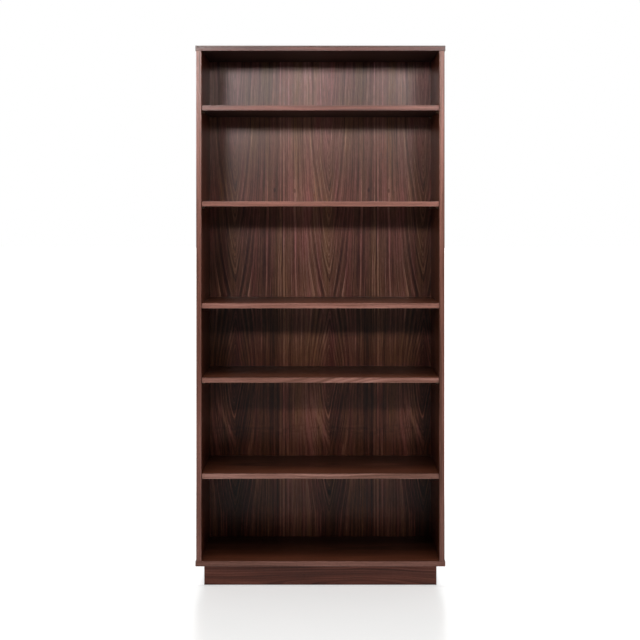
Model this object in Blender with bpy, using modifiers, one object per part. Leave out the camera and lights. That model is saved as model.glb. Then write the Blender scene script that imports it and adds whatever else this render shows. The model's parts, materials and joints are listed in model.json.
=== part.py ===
"""Tall open bookcase in walnut veneer: one fixed centre shelf and four adjustable shelves on pins.

Metres, +Z up. The origin is on the floor under the middle of the case, the front faces -Y, and +X is
the right-hand side. Each sub-part is one object, in place, in the collection "bookcase".
"""

import math

import bmesh
import bpy
from mathutils import Matrix, Vector

# Case
CASE_WIDTH = 0.9144
CASE_DEPTH = 0.356
CASE_HEIGHT = 1.981
BOARD = 0.019
SIDE_INSET = 0.003  # the top and bottom boards stand this far past each side panel
LIPPING = 0.003  # solid-wood strip on every front edge
ARRIS = 0.0008  # eased edge radius
GAP = 0.0003  # between touching pieces

# Back panel, in a groove in the four boards round it
BACK_THICKNESS = 0.006
BACK_RECESS = 0.007  # from the rear edges to the back panel
GROOVE_DEPTH = 0.006

# Shelves, by the height of each underside
SHELF_SETBACK = 0.009
SHELF_END_CLEARANCE = 0.001
SHELF_BACK_CLEARANCE = 0.001
SHELF_UNDERSIDES = (1.7442, 1.3922, 0.7465, 0.3945)

# Shelf pins, and the rows of holes that they fit
PIN_HEAD_RADIUS = 0.0035
PIN_SHANK_RADIUS = 0.0023
PIN_HEAD_LENGTH = 0.009
PIN_SHANK_LENGTH = 0.008
PIN_CHAMFER = 0.0005
PIN_HOLE_RADIUS = 0.00275
PIN_HOLE_DEPTH = 0.011
PIN_PITCH = 0.032
PIN_HOLES_EACH_WAY = 3  # holes above and below the one in use
PIN_EDGE_DISTANCE = 0.037

# Dowels in the case joints
DOWEL_RADIUS = 0.0038
DOWEL_HOLE_RADIUS = 0.0045
DOWEL_CHAMFER = 0.001
DOWEL_IN_FACE = 0.011
DOWEL_IN_EDGE = 0.019
DOWEL_END_CLEARANCE = 0.001
DOWEL_Y = 0.110  # each side of the middle of the depth

# Plinth
PLINTH_HEIGHT = 0.0762
PLINTH_FLOOR_GAP = 0.002
PLINTH_WIDTH = 0.854
PLINTH_SETBACK = 0.0254  # front and back
PLINTH_BOARD = 0.019
BLOCK_SIDE = 0.048
BLOCK_HEIGHT = 0.045

# Levelling feet, screwed into the corner blocks
FOOT_PAD_RADIUS = 0.016
FOOT_PAD_HEIGHT = 0.006
FOOT_NUT_RADIUS = 0.0075
FOOT_NUT_HEIGHT = 0.006
FOOT_STEM_RADIUS = 0.004
FOOT_STEM_TOP = 0.058
FOOT_BORE_RADIUS = 0.0048
FOOT_BORE_TOP = 0.064
FOOT_CHAMFER = 0.0012

HOLE_SIDES = 8
PIN_SIDES = 12
FOOT_SIDES = 20

# What follows from them
HALF_WIDTH = CASE_WIDTH / 2
FRONT = -CASE_DEPTH / 2
REAR = CASE_DEPTH / 2
SIDE_OUTER = HALF_WIDTH - SIDE_INSET
SIDE_INNER = SIDE_OUTER - BOARD
BOTTOM_TOP = PLINTH_HEIGHT + BOARD
TOP_UNDERSIDE = CASE_HEIGHT - BOARD
SIDE_LOW = BOTTOM_TOP + GAP
SIDE_HIGH = TOP_UNDERSIDE - GAP
FIXED_UNDERSIDE = (BOTTOM_TOP + TOP_UNDERSIDE - BOARD) / 2
BACK_REAR = REAR - BACK_RECESS
BACK_FRONT = BACK_REAR - BACK_THICKNESS
SHELF_FRONT = FRONT + SHELF_SETBACK
SHELF_REAR = BACK_FRONT - SHELF_BACK_CLEARANCE
SHELF_HALF = SIDE_INNER - SHELF_END_CLEARANCE
PIN_FRONT_Y = FRONT + PIN_EDGE_DISTANCE
PIN_REAR_Y = BACK_FRONT - PIN_EDGE_DISTANCE
PLINTH_FRONT = FRONT + PLINTH_SETBACK
PLINTH_REAR = REAR - PLINTH_SETBACK
PLINTH_HALF = PLINTH_WIDTH / 2
PLINTH_TOP = PLINTH_HEIGHT - GAP

SIDES = (("left", -1), ("right", 1))
ENDS = (("front", -1), ("rear", 1))


def clear_scene():
    for obj in list(bpy.data.objects):
        bpy.data.objects.remove(obj, do_unlink=True)


def new_collection(name):
    collection = bpy.data.collections.new(name)
    bpy.context.scene.collection.children.link(collection)
    return collection


def new_material(name, colour, roughness, metallic=0.0):
    material = bpy.data.materials.new(name)
    material.use_nodes = True
    shader = material.node_tree.nodes["Principled BSDF"]
    shader.inputs["Base Color"].default_value = (*colour, 1.0)
    shader.inputs["Roughness"].default_value = roughness
    shader.inputs["Metallic"].default_value = metallic
    return material


def mesh_from(bm, name):
    mesh = bpy.data.meshes.new(name)
    bm.to_mesh(mesh)
    bm.free()
    return mesh


def add_box(bm, low, high):
    """Adds a box between two corners to the mesh."""
    low, high = Vector(low), Vector(high)
    place = Matrix.Translation((low + high) / 2) @ Matrix.Diagonal((*(high - low), 1.0))
    bmesh.ops.create_cube(bm, size=1.0, matrix=place)


def add_cylinder(bm, radius, start, end):
    """Adds a faceted cylinder from start to end to the mesh."""
    start, end = Vector(start), Vector(end)
    along = end - start
    turn = along.to_track_quat("Z", "Y").to_matrix().to_4x4()
    bmesh.ops.create_cone(
        bm,
        cap_ends=True,
        segments=HOLE_SIDES,
        radius1=radius,
        radius2=radius,
        depth=along.length,
        matrix=Matrix.Translation((start + end) / 2) @ turn,
    )


def add_object(name, mesh, material, location=(0, 0, 0), rotation=(0, 0, 0)):
    if material.name not in mesh.materials:
        mesh.materials.append(material)
    obj = bpy.data.objects.new(name, mesh)
    obj.location = location
    obj.rotation_euler = rotation
    PARTS.objects.link(obj)
    return obj


def ease(obj, chosen):
    """Rounds the edges whose middle, as a -1, 0 or 1 on each axis of the box, is chosen."""
    mesh = obj.data
    half = [abs(value) for value in mesh.vertices[0].co]
    weights = mesh.attributes.new("bevel_weight_edge", "FLOAT", "EDGE")
    for edge in mesh.edges:
        first, second = (mesh.vertices[index].co for index in edge.vertices)
        signs = tuple(round(value / side) for value, side in zip((first + second) / 2, half))
        weights.data[edge.index].value = 1.0 if chosen(signs) else 0.0
    bevel = obj.modifiers.new("eased arrises", "BEVEL")
    bevel.limit_method = "WEIGHT"
    bevel.width = ARRIS
    bevel.segments = 2


def cut(obj, cutter_bm):
    """Cuts the shapes of one mesh out of the object."""
    cutter = bpy.data.objects.new(obj.name + "_cutter", mesh_from(cutter_bm, obj.name + "_cutter"))
    cutter.hide_render = True
    cutter.display_type = "WIRE"
    CUTTERS.objects.link(cutter)
    boolean = obj.modifiers.new("holes and grooves", "BOOLEAN")
    boolean.operation = "DIFFERENCE"
    boolean.solver = "EXACT"
    boolean.object = cutter


def board(name, low, high, material, chosen=None):
    """A box-shaped piece between two corners, with the chosen edges eased and its origin in its middle."""
    low, high = Vector(low), Vector(high)
    bm = bmesh.new()
    bmesh.ops.create_cube(bm, size=1.0, matrix=Matrix.Diagonal((*(high - low), 1.0)))
    obj = add_object(name, mesh_from(bm, name), material, (low + high) / 2)
    if chosen:
        ease(obj, chosen)
    return obj


def turned(name, profile, sides):
    """The mesh of a turned piece, from (radius, height) points that run from its top to its bottom."""
    bm = bmesh.new()
    points = [bm.verts.new((radius, 0.0, height)) for radius, height in profile]
    for upper, lower in zip(points, points[1:]):
        bm.edges.new((upper, lower))
    mesh = mesh_from(bm, name + "_profile")
    source = bpy.data.objects.new(name + "_profile", mesh)
    CUTTERS.objects.link(source)
    screw = source.modifiers.new("turn", "SCREW")
    screw.steps = sides
    screw.render_steps = sides
    screw.use_merge_vertices = True
    screw.merge_threshold = 0.00001
    graph = bpy.context.evaluated_depsgraph_get()
    graph.update()
    solid = bpy.data.meshes.new_from_object(source.evaluated_get(graph))
    bpy.data.objects.remove(source)
    solid.name = name
    solid.shade_smooth()
    solid.set_sharp_from_angle(angle=math.radians(40))
    return solid


def arrises_in_front(signs):
    """Every edge of a strip with free ends, apart from those against its board."""
    return signs[1] <= 0


def end_arrises(signs):
    """The edges along the depth at both ends of a board."""
    return signs[1] == 0


def upright_rear_arrises(signs):
    """The two upright edges at the back of a side panel."""
    return signs[1] > 0 and signs[2] == 0


def upright_front_arrises(signs):
    """The two upright edges at the front of a piece."""
    return signs[1] < 0 and signs[2] == 0


def level_front_arrises(signs):
    """The two level edges at the front of a piece."""
    return signs[1] < 0 and signs[0] == 0


def make_lipping(name, low_x, high_x, front, low_z, high_z, chosen):
    """The strip on a board's front edge, whose own front face is at front."""
    low = (low_x, front, low_z)
    high = (high_x, front + LIPPING - GAP, high_z)
    board(name, low, high, LIPPING_WALNUT, chosen)


def cut_dowel_holes_in_face(bm, x, z, side_z):
    """Two holes into a horizontal board, over or under a side panel's end."""
    for _, sign in ENDS:
        y = sign * DOWEL_Y
        deep = z + side_z * (DOWEL_IN_FACE + DOWEL_END_CLEARANCE)
        add_cylinder(bm, DOWEL_HOLE_RADIUS, (x, y, z - side_z * BOARD / 2), (x, y, deep))


def side_cutter(sign):
    """The pin holes, dowel holes and back groove of one side panel."""
    bm = bmesh.new()
    inner = sign * SIDE_INNER
    before = inner - sign * BOARD / 2
    for underside in SHELF_UNDERSIDES:
        for step in range(-PIN_HOLES_EACH_WAY, PIN_HOLES_EACH_WAY + 1):
            z = underside - GAP - PIN_HEAD_RADIUS + step * PIN_PITCH
            for y in (PIN_FRONT_Y, PIN_REAR_Y):
                add_cylinder(bm, PIN_HOLE_RADIUS, (before, y, z), (inner + sign * PIN_HOLE_DEPTH, y, z))
    middle = sign * (SIDE_INNER + BOARD / 2)
    face_depth = DOWEL_IN_FACE + DOWEL_END_CLEARANCE
    edge_depth = DOWEL_IN_EDGE + DOWEL_END_CLEARANCE
    for _, end in ENDS:
        y = end * DOWEL_Y
        z = FIXED_UNDERSIDE + BOARD / 2
        add_cylinder(bm, DOWEL_HOLE_RADIUS, (before, y, z), (inner + sign * face_depth, y, z))
        add_cylinder(
            bm, DOWEL_HOLE_RADIUS, (middle, y, SIDE_HIGH + BOARD), (middle, y, SIDE_HIGH - edge_depth)
        )
        add_cylinder(
            bm, DOWEL_HOLE_RADIUS, (middle, y, SIDE_LOW - BOARD), (middle, y, SIDE_LOW + edge_depth)
        )
    groove_x = sorted((before, inner + sign * GROOVE_DEPTH))
    add_box(
        bm,
        (groove_x[0], BACK_FRONT - GAP, SIDE_LOW - BOARD),
        (groove_x[1], BACK_REAR + GAP, SIDE_HIGH + BOARD),
    )
    return bm


def make_sides():
    for side, sign in SIDES:
        low_x, high_x = sorted((sign * SIDE_OUTER, sign * SIDE_INNER))
        panel = board(
            f"side_{side}",
            (low_x, FRONT + LIPPING, SIDE_LOW),
            (high_x, REAR, SIDE_HIGH),
            VENEER,
            upright_rear_arrises,
        )
        cut(panel, side_cutter(sign))
        make_lipping(
            f"side_{side}_lipping", low_x, high_x, FRONT, SIDE_LOW, SIDE_HIGH, upright_front_arrises
        )


def make_end_board(name, low_z, inward):
    """The top or the bottom board. inward is the sign of Z from its inner face into the case."""
    high_z = low_z + BOARD
    inner_z = high_z if inward > 0 else low_z
    panel = board(
        f"{name}_panel",
        (-HALF_WIDTH, FRONT + LIPPING, low_z),
        (HALF_WIDTH, REAR, high_z),
        VENEER,
        end_arrises,
    )
    bm = bmesh.new()
    for _, sign in SIDES:
        cut_dowel_holes_in_face(bm, sign * (SIDE_INNER + BOARD / 2), inner_z, -inward)
    groove_half = SIDE_INNER + GROOVE_DEPTH
    groove_z = sorted((inner_z + inward * BOARD / 2, inner_z - inward * GROOVE_DEPTH))
    add_box(
        bm,
        (-groove_half, BACK_FRONT - GAP, groove_z[0]),
        (groove_half, BACK_REAR + GAP, groove_z[1]),
    )
    cut(panel, bm)
    make_lipping(f"{name}_lipping", -HALF_WIDTH, HALF_WIDTH, FRONT, low_z, high_z, arrises_in_front)


def make_back():
    half = SIDE_INNER + GROOVE_DEPTH - GAP
    board(
        "back_panel",
        (-half, BACK_FRONT, BOTTOM_TOP - GROOVE_DEPTH + GAP),
        (half, BACK_REAR, TOP_UNDERSIDE + GROOVE_DEPTH - GAP),
        BACK_VENEER,
    )


def make_fixed_shelf():
    half = SIDE_INNER - GAP
    top = FIXED_UNDERSIDE + BOARD
    rear = BACK_FRONT - GAP
    panel = board(
        "fixed_shelf", (-half, SHELF_FRONT + LIPPING, FIXED_UNDERSIDE), (half, rear, top), VENEER
    )
    bm = bmesh.new()
    z = FIXED_UNDERSIDE + BOARD / 2
    for _, sign in SIDES:
        for _, end in ENDS:
            outside = sign * (half + BOARD)
            deep = sign * (half - DOWEL_IN_EDGE - DOWEL_END_CLEARANCE)
            add_cylinder(bm, DOWEL_HOLE_RADIUS, (outside, end * DOWEL_Y, z), (deep, end * DOWEL_Y, z))
    cut(panel, bm)
    make_lipping(
        "fixed_shelf_lipping", -half, half, SHELF_FRONT, FIXED_UNDERSIDE, top, level_front_arrises
    )


def make_adjustable_shelves():
    """Shelf 1 is the highest."""
    for number, underside in enumerate(SHELF_UNDERSIDES, start=1):
        name = f"adjustable_shelf_{number}"
        top = underside + BOARD
        board(
            name,
            (-SHELF_HALF, SHELF_FRONT + LIPPING, underside),
            (SHELF_HALF, SHELF_REAR, top),
            VENEER,
            end_arrises,
        )
        make_lipping(
            f"{name}_lipping", -SHELF_HALF, SHELF_HALF, SHELF_FRONT, underside, top, arrises_in_front
        )


def make_shelf_pins():
    """Each pin's shank is in its hole, and its head stands out under the shelf."""
    profile = (
        (0.0, PIN_HEAD_LENGTH),
        (PIN_HEAD_RADIUS - PIN_CHAMFER, PIN_HEAD_LENGTH),
        (PIN_HEAD_RADIUS, PIN_HEAD_LENGTH - PIN_CHAMFER),
        (PIN_HEAD_RADIUS, GAP),
        (PIN_SHANK_RADIUS, GAP),
        (PIN_SHANK_RADIUS, PIN_CHAMFER - PIN_SHANK_LENGTH),
        (PIN_SHANK_RADIUS - PIN_CHAMFER, -PIN_SHANK_LENGTH),
        (0.0, -PIN_SHANK_LENGTH),
    )
    mesh = turned("shelf_pin", profile, PIN_SIDES)
    for number, underside in enumerate(SHELF_UNDERSIDES, start=1):
        for side, sign in SIDES:
            for end, y in (("front", PIN_FRONT_Y), ("rear", PIN_REAR_Y)):
                add_object(
                    f"shelf_pin_{number}_{side}_{end}",
                    mesh,
                    PIN_STEEL,
                    (sign * SIDE_INNER, y, underside - GAP - PIN_HEAD_RADIUS),
                    (0, -sign * math.pi / 2, 0),
                )


def make_dowels():
    """Glued dowels, the short end in a board's face and the long end in another's edge."""
    profile = (
        (0.0, DOWEL_IN_FACE),
        (DOWEL_RADIUS - DOWEL_CHAMFER, DOWEL_IN_FACE),
        (DOWEL_RADIUS, DOWEL_IN_FACE - DOWEL_CHAMFER),
        (DOWEL_RADIUS, DOWEL_CHAMFER - DOWEL_IN_EDGE),
        (DOWEL_RADIUS - DOWEL_CHAMFER, -DOWEL_IN_EDGE),
        (0.0, -DOWEL_IN_EDGE),
    )
    mesh = turned("dowel", profile, HOLE_SIDES)
    for side, sign in SIDES:
        middle = sign * (SIDE_INNER + BOARD / 2)
        for end, end_sign in ENDS:
            y = end_sign * DOWEL_Y
            add_object(f"dowel_top_{side}_{end}", mesh, BEECH, (middle, y, TOP_UNDERSIDE))
            add_object(
                f"dowel_bottom_{side}_{end}", mesh, BEECH, (middle, y, BOTTOM_TOP), (math.pi, 0, 0)
            )
            add_object(
                f"dowel_shelf_{side}_{end}",
                mesh,
                BEECH,
                (sign * SIDE_INNER, y, FIXED_UNDERSIDE + BOARD / 2),
                (0, sign * math.pi / 2, 0),
            )


def make_plinth():
    """The front and rear boards run the full width, with the side boards and a stretcher between."""
    between_front = PLINTH_FRONT + PLINTH_BOARD + GAP
    between_rear = PLINTH_REAR - PLINTH_BOARD - GAP
    board(
        "plinth_front",
        (-PLINTH_HALF, PLINTH_FRONT, PLINTH_FLOOR_GAP),
        (PLINTH_HALF, PLINTH_FRONT + PLINTH_BOARD, PLINTH_TOP),
        VENEER,
        upright_front_arrises,
    )
    board(
        "plinth_rear",
        (-PLINTH_HALF, PLINTH_REAR - PLINTH_BOARD, PLINTH_FLOOR_GAP),
        (PLINTH_HALF, PLINTH_REAR, PLINTH_TOP),
        VENEER,
    )
    for side, sign in SIDES:
        low_x, high_x = sorted((sign * PLINTH_HALF, sign * (PLINTH_HALF - PLINTH_BOARD)))
        board(
            f"plinth_{side}",
            (low_x, between_front, PLINTH_FLOOR_GAP),
            (high_x, between_rear, PLINTH_TOP),
            VENEER,
        )
    board(
        "plinth_stretcher",
        (-PLINTH_BOARD / 2, between_front, PLINTH_FLOOR_GAP),
        (PLINTH_BOARD / 2, between_rear, PLINTH_TOP),
        PLYWOOD,
    )


def make_corner_blocks_and_feet():
    """A block in each corner of the plinth, with a levelling foot screwed up into it."""
    profile = (
        (0.0, FOOT_STEM_TOP),
        (FOOT_STEM_RADIUS - FOOT_CHAMFER, FOOT_STEM_TOP),
        (FOOT_STEM_RADIUS, FOOT_STEM_TOP - FOOT_CHAMFER),
        (FOOT_STEM_RADIUS, FOOT_PAD_HEIGHT + FOOT_NUT_HEIGHT),
        (FOOT_NUT_RADIUS, FOOT_PAD_HEIGHT + FOOT_NUT_HEIGHT),
        (FOOT_NUT_RADIUS, FOOT_PAD_HEIGHT),
        (FOOT_PAD_RADIUS - FOOT_CHAMFER, FOOT_PAD_HEIGHT),
        (FOOT_PAD_RADIUS, FOOT_PAD_HEIGHT - FOOT_CHAMFER),
        (FOOT_PAD_RADIUS, 0.0),
        (0.0, 0.0),
    )
    mesh = turned("levelling_foot", profile, FOOT_SIDES)
    inner_x = PLINTH_HALF - PLINTH_BOARD - GAP
    inner_y = PLINTH_REAR - PLINTH_BOARD - GAP
    for side, sign in SIDES:
        for end, end_sign in ENDS:
            corner = Vector((sign * inner_x, end_sign * inner_y))
            free = corner - Vector((sign, end_sign)) * BLOCK_SIDE
            middle = (corner + free) / 2
            block = board(
                f"corner_block_{side}_{end}",
                (min(corner.x, free.x), min(corner.y, free.y), PLINTH_TOP - BLOCK_HEIGHT),
                (max(corner.x, free.x), max(corner.y, free.y), PLINTH_TOP),
                BEECH,
            )
            bm = bmesh.new()
            add_cylinder(bm, FOOT_BORE_RADIUS, (middle.x, middle.y, 0.0), (middle.x, middle.y, FOOT_BORE_TOP))
            cut(block, bm)
            add_object(f"levelling_foot_{side}_{end}", mesh, FOOT_STEEL, (middle.x, middle.y, 0.0))


clear_scene()
PARTS = new_collection("bookcase")
CUTTERS = new_collection("cutters")
CUTTERS.hide_render = True

VENEER = new_material("walnut_veneer", (0.130, 0.060, 0.042), 0.42)
BACK_VENEER = new_material("walnut_back_veneer", (0.118, 0.054, 0.038), 0.45)
LIPPING_WALNUT = new_material("walnut_lipping", (0.190, 0.092, 0.066), 0.40)
PLYWOOD = new_material("plywood", (0.560, 0.400, 0.240), 0.60)
BEECH = new_material("beech", (0.620, 0.410, 0.240), 0.55)
PIN_STEEL = new_material("nickel_plated_steel", (0.660, 0.640, 0.600), 0.28, 1.0)
FOOT_STEEL = new_material("zinc_plated_steel", (0.620, 0.630, 0.640), 0.35, 1.0)

make_sides()
make_end_board("top", TOP_UNDERSIDE, -1)
make_end_board("bottom", PLINTH_HEIGHT, 1)
make_back()
make_fixed_shelf()
make_adjustable_shelves()
make_shelf_pins()
make_dowels()
make_plinth()
make_corner_blocks_and_feet()
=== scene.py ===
"""Looks for the walnut-veneered bookcase: node-based wood, lacquer and metal on the CAD nodes, studio and camera."""
import json
import math

import bpy
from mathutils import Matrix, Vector


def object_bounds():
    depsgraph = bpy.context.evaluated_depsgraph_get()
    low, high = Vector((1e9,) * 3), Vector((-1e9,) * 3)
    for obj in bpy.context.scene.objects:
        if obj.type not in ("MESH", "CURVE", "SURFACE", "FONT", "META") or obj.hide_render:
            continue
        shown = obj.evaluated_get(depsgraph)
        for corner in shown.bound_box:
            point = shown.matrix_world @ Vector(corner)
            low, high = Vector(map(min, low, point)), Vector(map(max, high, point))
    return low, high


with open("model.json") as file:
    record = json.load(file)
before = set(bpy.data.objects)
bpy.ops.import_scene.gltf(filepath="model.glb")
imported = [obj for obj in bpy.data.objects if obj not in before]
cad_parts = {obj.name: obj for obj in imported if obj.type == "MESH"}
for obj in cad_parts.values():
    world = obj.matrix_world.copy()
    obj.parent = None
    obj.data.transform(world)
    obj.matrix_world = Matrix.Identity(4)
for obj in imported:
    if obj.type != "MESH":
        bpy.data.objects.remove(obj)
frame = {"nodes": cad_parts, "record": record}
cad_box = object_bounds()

NODES = frame["nodes"]
SLOTS = {part["node"]: part["material_slot"] for part in frame["record"]["subparts"]}


# ---------------------------------------------------------------- node graphs


class Graph:
    """A material's node tree, written as short expressions."""

    def __init__(self, name):
        self.material = bpy.data.materials.new(name)
        self.material.use_nodes = True
        self.tree = self.material.node_tree
        self.tree.nodes.clear()
        self.coordinates = self.new("ShaderNodeTexCoord")

    def new(self, kind, **settings):
        node = self.tree.nodes.new(kind)
        for key, value in settings.items():
            setattr(node, key, value)
        return node

    def feed(self, socket, value):
        if isinstance(value, bpy.types.NodeSocket):
            self.tree.links.new(value, socket)
        else:
            socket.default_value = value

    def split(self, vector):
        node = self.new("ShaderNodeSeparateXYZ")
        self.feed(node.inputs[0], vector)
        return node.outputs[0], node.outputs[1], node.outputs[2]

    def position(self):
        """X, Y and Z in metres: the row frame at rest."""
        return self.split(self.coordinates.outputs["Object"])

    def share(self):
        """Place within the node's own box, 0 to 1 on each axis."""
        return self.split(self.coordinates.outputs["Generated"])

    def math(self, operation, *values, clamp=False):
        node = self.new("ShaderNodeMath", operation=operation, use_clamp=clamp)
        for socket, value in zip(node.inputs, values):
            self.feed(socket, value)
        return node.outputs[0]

    def add(self, *values):
        total = values[0]
        for value in values[1:]:
            total = self.math("ADD", total, value)
        return total

    def scale(self, value, factor, offset=0.0):
        return self.math("MULTIPLY_ADD", value, factor, offset)

    def noise(self, *places, detail=2.0, roughness=0.5, distortion=0.0):
        """Noise at a point whose coordinates are given already scaled; about 0.5 on average."""
        node = self.new("ShaderNodeTexNoise", noise_dimensions="2D" if len(places) < 3 else "3D")
        point = self.new("ShaderNodeCombineXYZ")
        for socket, place in zip(point.inputs, places):
            self.feed(socket, place)
        self.feed(node.inputs["Vector"], point.outputs[0])
        node.inputs["Scale"].default_value = 1.0
        node.inputs["Detail"].default_value = detail
        node.inputs["Roughness"].default_value = roughness
        node.inputs["Distortion"].default_value = distortion
        return node.outputs[0]

    def step(self, value, low, high, to_low=0.0, to_high=1.0):
        """Smooth step from low to high."""
        node = self.new("ShaderNodeMapRange", interpolation_type="SMOOTHSTEP")
        for socket, number in zip(node.inputs, (value, low, high, to_low, to_high)):
            self.feed(socket, number)
        return node.outputs[0]

    def curve(self, value, points):
        """A line through (input, output) points, all from 0 to 1."""
        node = self.new("ShaderNodeFloatCurve")
        self.feed(node.inputs["Value"], value)
        line = node.mapping.curves[0]
        line.points[0].location = points[0]
        line.points[1].location = points[-1]
        for point in points[1:-1]:
            line.points.new(*point)
        for point in line.points:
            point.handle_type = "VECTOR"
        node.mapping.update()
        return node.outputs[0]

    def ramp(self, value, stops):
        node = self.new("ShaderNodeValToRGB")
        node.color_ramp.interpolation = "LINEAR"
        elements = node.color_ramp.elements
        elements[0].position, elements[0].color = stops[0][0], (*stops[0][1], 1)
        elements[1].position, elements[1].color = stops[-1][0], (*stops[-1][1], 1)
        for place, colour in stops[1:-1]:
            elements.new(place).color = (*colour, 1)
        self.feed(node.inputs[0], value)
        return node.outputs[0]

    def mix(self, factor, first, second, blend="MIX"):
        node = self.new("ShaderNodeMix", data_type="RGBA", blend_type=blend)
        self.feed(node.inputs[0], factor)
        for socket, value in ((node.inputs[6], first), (node.inputs[7], second)):
            self.feed(socket, value if isinstance(value, bpy.types.NodeSocket) else (*value, 1))
        return node.outputs[2]

    def finish(self, colour, roughness, height, depth, **constants):
        """Principled surface. height runs from 0 to 1, depth is its size in metres, constants set other sockets."""
        bump = self.new("ShaderNodeBump")
        bump.inputs["Strength"].default_value = 1.0
        bump.inputs["Distance"].default_value = depth
        self.feed(bump.inputs["Height"], height)
        shader = self.new("ShaderNodeBsdfPrincipled")
        self.feed(shader.inputs["Base Color"], colour)
        self.feed(shader.inputs["Roughness"], roughness)
        self.feed(shader.inputs["Normal"], bump.outputs[0])
        for key, value in constants.items():
            shader.inputs[key].default_value = value
        out = self.new("ShaderNodeOutputMaterial")
        self.feed(out.inputs["Surface"], shader.outputs[0])
        return self.material


# ---------------------------------------------------------------- walnut

# Linear colours from the darkest latewood line to the palest streak; the middle one is the wood's mean.
BACK_WALNUT = (
    (0.00, (0.029, 0.0090, 0.0056)),
    (0.28, (0.075, 0.0250, 0.0148)),
    (0.50, (0.133, 0.0478, 0.0294)),
    (0.72, (0.210, 0.0830, 0.0546)),
    (1.00, (0.370, 0.1730, 0.1260)),
)


def toned(colours, red, green, blue):
    """The same ramp with its red, green and blue multiplied."""
    return tuple((place, (c[0] * red, c[1] * green, c[2] * blue)) for place, c in colours)


SHELF_WALNUT = toned(BACK_WALNUT, 0.45, 0.35, 0.26)
SIDE_WALNUT = toned(BACK_WALNUT, 0.64, 0.46, 0.34)
PLINTH_WALNUT = toned(BACK_WALNUT, 1.08, 0.77, 0.70)


def ring_tone(g, radius, along, across, through, band=14.0, seed=0.0):
    """Light and dark growth rings, their fine streaks and the tone of the wood, 0 to 1 about 0.5."""
    per_metre = 1000.0 / band
    rings = g.noise(g.scale(radius, per_metre, seed), g.scale(along, 0.55, seed), detail=1.0, roughness=0.5)
    streaks = g.noise(g.scale(radius, per_metre * 1.7, seed), g.scale(along, 0.8), detail=3.5, roughness=0.72)
    lines = g.noise(g.scale(radius, per_metre * 1.3, seed + 9.0), g.scale(along, 0.6), detail=2.0, roughness=0.6)
    pale = g.step(g.math("ABSOLUTE", g.scale(lines, 1.0, -0.5)), 0.050, 0.0)
    hairs = g.noise(g.scale(radius, 520.0, seed), g.scale(along, 5.0, seed), detail=1.5, roughness=0.6)
    cloud = g.noise(g.scale(across, 9.0, seed), g.scale(along, 2.6, seed), g.scale(through, 9.0), detail=2.0)
    return g.add(
        g.scale(rings, 0.40, -0.225),
        g.scale(streaks, 1.05, -0.530),
        g.scale(pale, 0.14),
        g.scale(hairs, 0.45, -0.225),
        g.scale(cloud, 0.45, 0.255),
    )


SATIN = 0.33
PORE_COLOUR = (0.012, 0.004, 0.002)
# Painted shade colour for the arrises of the lippings.
ARRIS_SHADE_COLOUR = (0.040, 0.018, 0.013)
WOOD_RELIEF = 0.00010


def pores(g, along, across, through):
    """Open pores: short fine dark dashes along the grain, 1 in a pore and 0 between."""
    dash = g.noise(g.scale(across, 1500.0), g.scale(along, 75.0), g.scale(through, 1500.0), detail=1.0)
    return g.step(dash, 0.60, 0.70)


def lacquered_wood(g, tone, pore, along, across, through, colours, darken=None, gloss=SATIN, cast=None, flake=0.5):
    """Satin lacquer over open-grained wood. darken mixes in painted shade, and cast multiplies its colour."""
    colour = g.ramp(tone, colours)
    if cast is not None:
        colour = g.mix(1.0, colour, cast, "MULTIPLY")
    colour = g.mix(g.scale(pore, 0.55), colour, PORE_COLOUR)
    if darken is not None:
        colour = g.mix(darken, colour, ARRIS_SHADE_COLOUR)
    smear = g.noise(g.scale(across, 6.0), g.scale(along, 3.0), g.scale(through, 6.0), detail=3.0)
    roughness = g.add(g.scale(smear, 0.12, -0.06), gloss, g.scale(pore, 0.16), g.scale(tone, -0.05))
    height = g.add(g.scale(pore, -0.5), g.scale(tone, 0.25), g.scale(flake, 1.6))
    return g.finish(colour, roughness, height, WOOD_RELIEF, **{"Specular IOR Level": 0.3})


LEAF_WIDTH = 0.370
LEAF_CENTRE = 0.035
CUT_PUSH = 0.062
# How far the rings are pushed in at the heart of the leaf, up its height: (height in m, share of CUT_PUSH).
# Where the push falls with height the figure opens upwards in V shapes, and where it rises they point up.
# It changes quickly behind the shelves.
CUT = (
    (0.000, 0.66), (0.190, 0.64), (0.315, 0.30), (0.392, 0.20), (0.416, 0.92), (0.450, 0.86), (0.624, 0.36),
    (0.746, 0.10), (0.766, 0.16), (0.890, 0.46), (0.970, 0.64), (1.016, 0.74), (1.042, 0.86), (1.170, 0.56),
    (1.300, 0.26), (1.390, 0.06), (1.412, 0.70), (1.560, 0.42), (1.740, 0.14), (1.764, 0.30), (1.962, 0.10),
    (2.000, 0.10),
)
PANEL_TOP = 2.0
# Knots on each leaf: across from its centre, height, half width and half length, in metres.
KNOTS = ((0.0, 0.268, 0.006, 0.010), (-0.136, 1.455, 0.004, 0.009), (0.155, 1.458, 0.004, 0.009))


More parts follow.
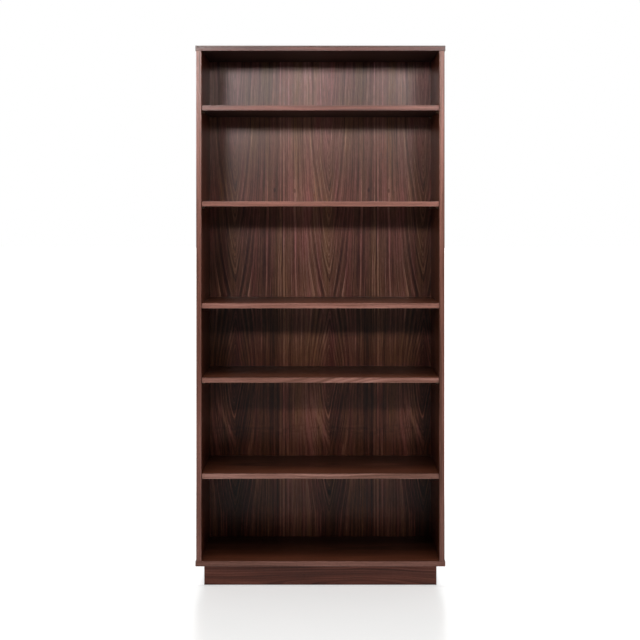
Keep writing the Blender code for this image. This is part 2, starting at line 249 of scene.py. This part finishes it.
def back_veneer():
    """Slip-matched crown-cut leaves on the back panel, their figure repeated every 370 mm."""
    g = Graph("walnut_back_veneer")
    x, y, z = g.position()
    leaf_place = g.math("WRAP", g.scale(x, 1.0, -LEAF_CENTRE), LEAF_WIDTH / 2, -LEAF_WIDTH / 2)
    wander = g.noise(g.scale(leaf_place, 5.0, 3.1), g.scale(z, 2.6), detail=2.0)
    ripple = g.noise(g.scale(leaf_place, 24.0), g.scale(z, 7.0), detail=2.0)
    across = g.add(leaf_place, g.scale(wander, 0.014, -0.007), g.scale(ripple, 0.005, -0.0025))
    squared = g.math("MULTIPLY", across, across)
    outward = g.math("SQRT", g.math("ADD", squared, 0.000025))
    near_heart = g.math("EXPONENT", g.scale(squared, -1 / 0.085**2))
    cut = g.curve(g.scale(z, 1 / PANEL_TOP), tuple((height / PANEL_TOP, push) for height, push in CUT))
    push = g.math("MULTIPLY", g.scale(cut, CUT_PUSH), near_heart)
    # Left and right of the heart the rings differ a little, so that the V shapes are not mirror images.
    radius = g.add(outward, push, g.scale(g.step(leaf_place, -0.03, 0.03), 0.0055))
    tone = ring_tone(g, radius, z, leaf_place, y, band=13.0)
    # Straight fine lines that run over the figure.
    fine = g.noise(g.scale(leaf_place, 270.0), g.scale(z, 0.7), detail=2.5, roughness=0.65)
    wires = g.noise(g.scale(radius, 130.0, 40.0), g.scale(z, 0.9), detail=1.5)
    wire = g.step(g.math("ABSOLUTE", g.scale(wires, 1.0, -0.5)), 0.040, 0.0)
    # The leaves are lighter left of their heart and darker right of it, and paler up the panel.
    side = g.scale(g.step(leaf_place, -0.05, 0.05), -0.16, 0.08)
    height = g.step(z, 1.15, 1.75, -0.05, 0.07)
    # Painted shade: the panel is darker towards its outer edges, most of all the left one, where the side panels
    # shade it, and a little lighter in the middle.
    painted_side_shade = g.add(g.step(g.math("ABSOLUTE", x), 0.08, 0.44, 0.07, -0.10), g.step(x, -0.43, -0.28, -0.11, 0.0))
    from_seam = g.scale(g.math("ABSOLUTE", leaf_place), -1.0, LEAF_WIDTH / 2)
    seam = g.step(from_seam, 0.0006, 0.0032, -0.26, 0.0)
    pale_line = g.step(g.math("ABSOLUTE", g.scale(from_seam, 1.0, -0.0070)), 0.0014, 0.0036, 1.0, 0.0)
    tone = g.add(tone, g.scale(fine, 0.60, -0.32), g.scale(wire, 0.24), side, height)
    tone = g.add(tone, painted_side_shade, seam, g.scale(pale_line, 0.24))
    # A bright crescent left of the heart and the dark wood on its other side. The rear face has plainer leaves.
    facing_front = g.step(g.split(g.new("ShaderNodeNewGeometry").outputs["Normal"])[1], -0.5, 0.5, 1.0, 0.0)
    crescent_line = g.step(z, 0.440, 0.660, -0.004, -0.068)
    offset = g.add(across, g.scale(crescent_line, -1.0))
    crescent = g.step(g.math("ABSOLUTE", offset), 0.003, 0.014, 1.0, 0.0)
    span = g.math("MULTIPLY", g.step(z, 0.440, 0.500), g.step(z, 0.600, 0.700, 1.0, 0.0))
    span = g.math("MULTIPLY", span, facing_front)
    dark = g.math("MULTIPLY", g.step(across, -0.002, 0.004), g.step(across, 0.040, 0.090, 1.0, 0.0))
    warm = g.math("MULTIPLY", g.step(across, -0.150, -0.090), g.step(across, -0.030, -0.010, 1.0, 0.0))
    marks = g.add(g.scale(crescent, 0.26), g.scale(dark, -0.12), g.scale(warm, 0.16))
    tone = g.add(tone, g.math("MULTIPLY", marks, span))
    # Short streaks across the grain above the fourth shelf.
    mottle = g.noise(g.scale(leaf_place, 26.0, 2.0), g.scale(z, 95.0), detail=2.0)
    band = g.math("MULTIPLY", g.step(z, 0.485, 0.505), g.step(z, 0.525, 0.545, 1.0, 0.0))
    band = g.math("MULTIPLY", band, facing_front)
    tone = g.add(tone, g.math("MULTIPLY", g.scale(mottle, 0.32, -0.165), band))
    # Below the fourth shelf the heart is a dark vase between paler wood.
    waist = g.step(z, 0.12, 0.34, 0.036, 0.060)
    inside = g.step(g.math("SUBTRACT", g.math("ABSOLUTE", across), waist), -0.006, 0.010, -0.13, 0.05)
    tone = g.add(tone, g.math("MULTIPLY", inside, g.step(z, 0.36, 0.30)))
    # Lower down the wood is a little lighter.
    tone = g.add(tone, g.step(z, 0.40, 0.56, 0.07, 0.0))
    for place, level, width, length in KNOTS:
        aside = g.math("POWER", g.scale(leaf_place, 1 / width, -place / width), 2.0)
        above = g.math("POWER", g.scale(z, 1 / length, -level / length), 2.0)
        tone = g.add(tone, g.step(g.math("ADD", aside, above), 0.3, 1.6, -0.35, 0.0))
    # Flakes: short open-pored dashes that break the lines up. The figure is softer up the panel, a painted sheen that
    # washes it out.
    flake = g.noise(g.scale(leaf_place, 240.0), g.scale(z, 26.0), detail=2.0, roughness=0.6)
    contrast = g.step(z, 1.25, 1.65, 1.22, 0.88)
    tone = g.add(g.math("MULTIPLY_ADD", g.scale(tone, 1.0, -0.5), contrast, 0.5), g.scale(flake, 0.36, -0.18))
    hue = g.noise(g.scale(across, 21.0, 5.0), g.scale(z, 1.9), detail=2.5, roughness=0.6)
    cast = g.ramp(hue, ((0.30, (1.03, 0.84, 1.00)), (0.50, (1.0, 1.0, 1.0)), (0.70, (0.93, 1.00, 0.80))))
    # Warmer wood low down, and a painted bluish-grey sheen at the top.
    warmth_and_painted_sheen = g.mix(g.step(z, 1.10, 0.60), (1, 1, 1), (1.16, 0.98, 0.86))
    warmth_and_painted_sheen = g.mix(g.step(z, 1.60, 1.80), warmth_and_painted_sheen, (1.02, 1.12, 1.26))
    cast = g.mix(1.0, cast, warmth_and_painted_sheen, "MULTIPLY")
    return lacquered_wood(g, tone, pores(g, z, x, y), z, x, y, BACK_WALNUT, gloss=0.32, cast=cast, flake=flake)


def board_veneer(name, along, across, colours, depth=0.07, band=12.0, seed=0.0):
    """Veneer on a board whose grain runs along one axis and whose figure opens across another."""
    g = Graph(name)
    place = dict(zip("XYZ", g.position()))
    through = next(axis for axis in "XYZ" if axis not in (along, across))
    a, c, t = place[along], place[across], place[through]
    wander = g.noise(g.scale(a, 2.1, seed), g.scale(c, 4.0), g.scale(t, 3.7, seed), detail=2.0)
    deep = g.noise(g.scale(a, 1.3, seed + 5.0), g.scale(t, 2.9, seed), detail=1.0)
    moved = g.add(c, g.scale(wander, 0.05, -0.025))
    cut = g.scale(deep, depth * 2.0, -depth * 0.4)
    radius = g.math("SQRT", g.add(g.math("MULTIPLY", moved, moved), g.math("MULTIPLY", cut, cut)))
    tone = ring_tone(g, g.add(radius, g.scale(t, 0.35)), a, c, t, band=band, seed=seed)
    # The undersides are darkened with painted shade, and are less polished.
    facing = g.split(g.new("ShaderNodeNewGeometry").outputs["Normal"])[2]
    painted_underside_shade = g.step(facing, -0.9, -0.4, -0.42, 0.0)
    gloss = g.step(facing, -0.9, -0.4, 0.62, SATIN)
    return lacquered_wood(g, g.add(tone, painted_underside_shade), pores(g, a, c, t), a, c, t, colours, gloss=gloss)


LIPPING = (
    (0.00, (0.058, 0.0220, 0.0145)),
    (0.30, (0.142, 0.0570, 0.0390)),
    (0.52, (0.220, 0.0940, 0.0700)),
    (0.75, (0.312, 0.1420, 0.1100)),
    (1.00, (0.460, 0.2400, 0.2000)),
)
# How light each lipping is beside the middle ones: partly the strips coming from different boards, partly painted
# shade that makes them darker up the case.
LIPPING_SHADE = {
    "top_lipping": 0.29, "adjustable_shelf_1_lipping": 0.48, "adjustable_shelf_2_lipping": 0.80,
    "adjustable_shelf_3_lipping": 1.18, "adjustable_shelf_4_lipping": 1.42,
    "side_left_lipping": 0.80, "side_right_lipping": 0.82,
}


def lipping(name, seed):
    """Thin solid strip on a front edge: long streaks, with painted shade along its arrises."""
    along, across = ("Z", "X") if name.startswith("side") else ("X", "Z")
    g = Graph("walnut_" + name)
    place = dict(zip("XYZ", g.position()))
    a, c, t = place[along], place[across], place["Y"]
    # The grain runs out of the strip at a low angle, so streaks cross it slantwise in places.
    slope = g.noise(g.scale(a, 2.6, seed), 0.5, detail=1.0)
    wave = g.noise(g.scale(a, 9.0, seed), g.scale(c, 11.0), detail=2.0)
    moved = g.add(c, g.scale(slope, 0.014, -0.007), g.scale(wave, 0.006, -0.003))
    if name == "adjustable_shelf_3_lipping":  # the grain crosses its middle slantwise
        moved = g.add(moved, g.step(a, -0.20, 0.28, 0.0, -0.090))
    rings = g.noise(g.scale(moved, 120.0, seed), g.scale(a, 1.1, seed), detail=2.5, roughness=0.6)
    fine = g.noise(g.scale(moved, 520.0, seed), g.scale(a, 6.0), g.scale(t, 500.0), detail=1.5)
    cloud = g.noise(g.scale(a, 2.3, seed), g.scale(c, 3.0), detail=2.0)
    tone = g.add(g.scale(rings, 1.10, -0.550), g.scale(fine, 0.60, -0.30), g.scale(cloud, 0.60, 0.210))
    if name == "side_left_lipping":  # paler towards its foot
        tone = g.add(tone, g.step(a, 1.0, 0.6, 0.0, 0.17))
    shares = dict(zip("XYZ", g.share()))
    # Painted shade along the strip's arrises, broken up by noise.
    edge = g.step(g.math("ABSOLUTE", g.scale(shares[across], 1.0, -0.5)), 0.40, 0.50)
    shade_breakup = g.noise(g.scale(a, 26.0, seed), g.scale(c, 60.0), detail=3.0)
    arris_shade = g.math("MULTIPLY", edge, g.step(shade_breakup, 0.35, 0.65, 0.35, 0.75))
    if name == "top_lipping":  # painted shade on its upper arris and its ends
        ends = g.step(g.math("ABSOLUTE", g.scale(shares["X"], 1.0, -0.5)), 0.4945, 0.4985)
        arris = g.step(shares["Z"], 0.66, 0.84)
        arris_shade = g.math("MAXIMUM", arris_shade, g.scale(g.math("MAXIMUM", ends, arris), 0.95))
    shade = LIPPING_SHADE.get(name, 1.0)
    colours = toned(LIPPING, shade, shade**1.3, shade**1.4)
    return lacquered_wood(g, tone, pores(g, a, c, t), a, c, t, colours, darken=arris_shade)


# ---------------------------------------------------------------- other materials


def beech(name, along, across):
    """Plain sanded beech: pale, straight, with short darker ray flecks."""
    g = Graph(name)
    place = dict(zip("XYZ", g.position()))
    through = next(axis for axis in "XYZ" if axis not in (along, across))
    a, c, t = place[along], place[across], place[through]
    rings = g.noise(g.scale(a, 6.0), g.scale(c, 190.0), g.scale(t, 60.0), detail=2.0)
    fleck = g.step(g.noise(g.scale(a, 260.0), g.scale(c, 1300.0), g.scale(t, 1300.0), detail=1.0), 0.60, 0.72)
    colour = g.ramp(rings, ((0.2, (0.46, 0.285, 0.160)), (0.5, (0.61, 0.405, 0.240)), (0.8, (0.70, 0.500, 0.320))))
    colour = g.mix(g.scale(fleck, 0.5), colour, (0.30, 0.170, 0.095))
    roughness = g.add(g.scale(rings, 0.15, 0.52), g.scale(fleck, 0.08))
    return g.finish(colour, roughness, g.add(rings, g.scale(fleck, -0.6)), 0.00008)


def plywood():
    """Sanded plywood: a pale streaked face, and plies about 1.6 mm thick on the cut edges."""
    g = Graph("plywood")
    x, y, z = g.position()
    grain = g.noise(g.scale(x, 60.0), g.scale(y, 3.5), g.scale(z, 60.0), detail=3.0)
    ply = g.math("FRACT", g.scale(x, 310.0))
    band = g.step(g.math("ABSOLUTE", g.scale(ply, 1.0, -0.5)), 0.18, 0.30)
    face = g.ramp(grain, ((0.25, (0.42, 0.275, 0.150)), (0.5, (0.55, 0.390, 0.235)), (0.75, (0.66, 0.500, 0.320))))
    edge = g.mix(band, face, (0.31, 0.190, 0.100))
    _, across_face, _ = g.split(g.new("ShaderNodeNewGeometry").outputs["Normal"])
    on_edge = g.step(g.math("ABSOLUTE", across_face), 0.5, 0.8)
    colour = g.mix(on_edge, face, edge)
    return g.finish(colour, g.scale(grain, 0.20, 0.55), grain, 0.00012)


def plated(name, colour, tint, gloss):
    """Plated steel: fine turning lines, small smudges and a slightly uneven tint."""
    g = Graph(name)
    x, y, z = g.position()
    turned = g.noise(g.scale(x, 2600.0), g.scale(y, 160.0), g.scale(z, 2600.0), detail=1.0)
    smudge = g.noise(g.scale(x, 240.0), g.scale(y, 240.0), g.scale(z, 240.0), detail=3.0)
    shade = g.mix(g.step(smudge, 0.35, 0.70), colour, tint)
    roughness = g.add(g.scale(smudge, 0.22, gloss - 0.11), g.scale(turned, 0.10, -0.05))
    return g.finish(shade, roughness, turned, 0.00001, Metallic=1.0)


back = back_veneer()
level_board = board_veneer("walnut_veneer_level", "X", "Y", SHELF_WALNUT, depth=0.08, band=13.0, seed=2.0)
upright_board = board_veneer("walnut_veneer_upright", "Z", "Y", SIDE_WALNUT, depth=0.06, band=13.0, seed=7.0)
plinth_long = board_veneer("walnut_veneer_plinth", "X", "Z", PLINTH_WALNUT, depth=0.035, band=9.0, seed=11.0)
plinth_short = board_veneer("walnut_veneer_plinth_end", "Y", "Z", PLINTH_WALNUT, depth=0.035, band=9.0, seed=13.0)
strips = sorted(name for name, slot in SLOTS.items() if slot == "walnut_lipping")
lippings = {name: lipping(name, 1.7 * number) for number, name in enumerate(strips)}
dowel_beech = beech("beech_dowel", "Z", "Y")
level_dowel_beech = beech("beech_dowel_level", "X", "Y")
block_beech = beech("beech_block", "Z", "X")
ply = plywood()
bronzed = plated("bronzed_steel", (0.130, 0.092, 0.066), (0.180, 0.132, 0.096), 0.34)
zinc = plated("zinc_plated_steel", (0.56, 0.58, 0.60), (0.68, 0.68, 0.64), 0.38)


def finish_for(name):
    slot = SLOTS[name]
    if slot == "walnut_lipping":
        return lippings[name]
    if slot == "walnut_back_veneer":
        return back
    if slot == "walnut_veneer":
        if name.startswith("side"):
            return upright_board
        if name.startswith("plinth"):
            return plinth_short if name in ("plinth_left", "plinth_right") else plinth_long
        return level_board
    if slot == "beech":
        if name.startswith("corner"):
            return block_beech
        return level_dowel_beech if name.startswith("dowel_shelf") else dowel_beech
    return {"plywood": ply, "bronzed_steel": bronzed, "zinc_plated_steel": zinc}[slot]


for name, obj in NODES.items():
    obj.data.materials.clear()
    obj.data.materials.append(finish_for(name))

# ---------------------------------------------------------------- studio

front = cad_box[0].y


def floor_finish():
    """Plain pale floor with a soft gloss. A camera-only glow paints it white round the case and paints light over the
    case's shadow behind it, and is weaker in front of it as painted shade.
    """
    g = Graph("studio_floor")
    x, y, _ = g.position()
    mottle = g.noise(g.scale(x, 1.3), g.scale(y, 1.3), detail=3.0)
    colour = g.ramp(mottle, ((0.3, (0.740, 0.738, 0.730)), (0.7, (0.755, 0.753, 0.745))))
    aside = g.math("ABSOLUTE", x)
    beside = g.add(g.step(aside, 0.40, 0.52, 0.0, 0.13), g.step(aside, 0.52, 0.95, 0.0, 0.30))
    behind = g.step(y, front - 0.005, front + 0.05, 0.0, 0.50)
    # Further off, it turns to the white of the backdrop.
    distance = g.math("SQRT", g.add(g.math("MULTIPLY", x, x), g.math("MULTIPLY", y, y)))
    far = g.step(distance, 0.80, 1.80)
    # Painted light: a camera-only glow, weaker in front of the case as painted shade and stronger behind it over its
    # shadow.
    painted_glow_level = g.add(g.math("MAXIMUM", beside, behind), g.scale(far, 0.55, 0.20))
    painted_glow = g.math("MULTIPLY", painted_glow_level, g.new("ShaderNodeLightPath").outputs["Is Camera Ray"])
    extra = {"Emission Color": (1, 1, 1, 1), "Specular IOR Level": 0.9}
    material = g.finish(colour, g.scale(mottle, 0.06, 0.21), mottle, 0.0002, **extra)
    shader = next(node for node in g.tree.nodes if node.type == "BSDF_PRINCIPLED")
    g.feed(shader.inputs["Emission Strength"], painted_glow)
    return material


FLOOR_REACH = 40.0
corners = [(FLOOR_REACH * x, FLOOR_REACH * y, 0) for x, y in ((-1, -1), (1, -1), (1, 1), (-1, 1))]
mesh = bpy.data.meshes.new("studio_floor")
mesh.from_pydata(corners, [], [(0, 1, 2, 3)])
mesh.materials.append(floor_finish())
floor = bpy.data.objects.new("studio_floor", mesh)
bpy.context.scene.collection.objects.link(floor)

# White all round for the camera. As a light it is a backdrop behind the object, brighter in reflections, and a dim
# room in front.
world = bpy.data.worlds.new("studio")
world.use_nodes = True
bpy.context.scene.world = world
tree = world.node_tree
sky = tree.nodes["Background"]
sky.inputs["Color"].default_value = (1, 1, 1, 1)


def world_math(operation, *values):
    node = tree.nodes.new("ShaderNodeMath")
    node.operation = operation
    for socket, value in zip(node.inputs, values):
        if isinstance(value, bpy.types.NodeSocket):
            tree.links.new(value, socket)
        else:
            socket.default_value = value
    return node.outputs[0]


ray = tree.nodes.new("ShaderNodeLightPath").outputs
parts = tree.nodes.new("ShaderNodeSeparateXYZ")
tree.links.new(tree.nodes.new("ShaderNodeTexCoord").outputs["Generated"], parts.inputs[0])
behind = world_math("MULTIPLY_ADD", parts.outputs["Y"], 3.0, 0.5)
behind = world_math("SMOOTH_MIN", world_math("SMOOTH_MAX", behind, 0.0, 0.1), 1.0, 0.1)
backdrop = world_math("MULTIPLY", behind, world_math("MULTIPLY_ADD", ray["Is Glossy Ray"], 0.45, 0.40))
light = world_math("MAXIMUM", backdrop, 0.03)
tree.links.new(world_math("MAXIMUM", light, ray["Is Camera Ray"]), sky.inputs["Strength"])


def softbox(name, place, target, width, height, power, spread=180.0):
    """Rectangular light in watts, facing target. spread is the angle in degrees that its grid lets through."""
    data = bpy.data.lights.new(name, "AREA")
    data.shape = "RECTANGLE"
    data.size, data.size_y, data.energy, data.spread = width, height, power, math.radians(spread)
    obj = bpy.data.objects.new(name, data)
    obj.location = place
    obj.rotation_euler = (Vector(target) - Vector(place)).to_track_quat("-Z", "Y").to_euler()
    bpy.context.scene.collection.objects.link(obj)


# Two softboxes and a high bank overhead. The softboxes in front have grids that keep most of their light on the upper
# shelves.
KEY_HEIGHT = 2.3
KEY_DISTANCE = 3.3
softbox("high_bank", (0, front - 1.2, 4.5), (0, front - 1.2, 0), 3.0, 1.5, 80.0)
softbox("overhead_softbox", (0, front - 0.65, 3.4), (0, front - 0.65, 0), 2.4, 1.0, 50.0)
softbox("front_top_softbox", (0, front - 2.0, 3.4), (0, front - 1.0, 0), 2.4, 1.0, 34.0)
softbox("left_key", (-1.2, front - KEY_DISTANCE, KEY_HEIGHT), (0, 0, KEY_HEIGHT), 0.5, 0.3, 8.9, spread=60)
softbox("right_key", (1.2, front - KEY_DISTANCE, KEY_HEIGHT), (0, 0, KEY_HEIGHT), 0.5, 0.3, 3.9, spread=60)
softbox("right_fill", (1.0, front - 3.7, KEY_HEIGHT), (0, 0, 1.2), 1.0, 0.5, 5.9)
softbox("upper_fill", (0, front - KEY_DISTANCE, KEY_HEIGHT), (0, 0, 2.4), 1.0, 0.3, 0.8, spread=40)

# ---------------------------------------------------------------- camera

EYE_HEIGHT = 1.380
CAMERA_DISTANCE = 4.484  # from the front of the case

camera_data = bpy.data.cameras.new("camera")
camera_data.sensor_width = 36.0
camera_data.lens = 68.99
camera_data.shift_x = -0.0006
camera_data.shift_y = -0.172
camera = bpy.data.objects.new("camera", camera_data)
camera.location = (0.0, front - CAMERA_DISTANCE, EYE_HEIGHT)
camera.rotation_euler = (math.pi / 2, 0.0, 0.0)
bpy.context.scene.collection.objects.link(camera)
bpy.context.scene.camera = camera
bpy.context.scene.view_settings.view_transform = "Standard"
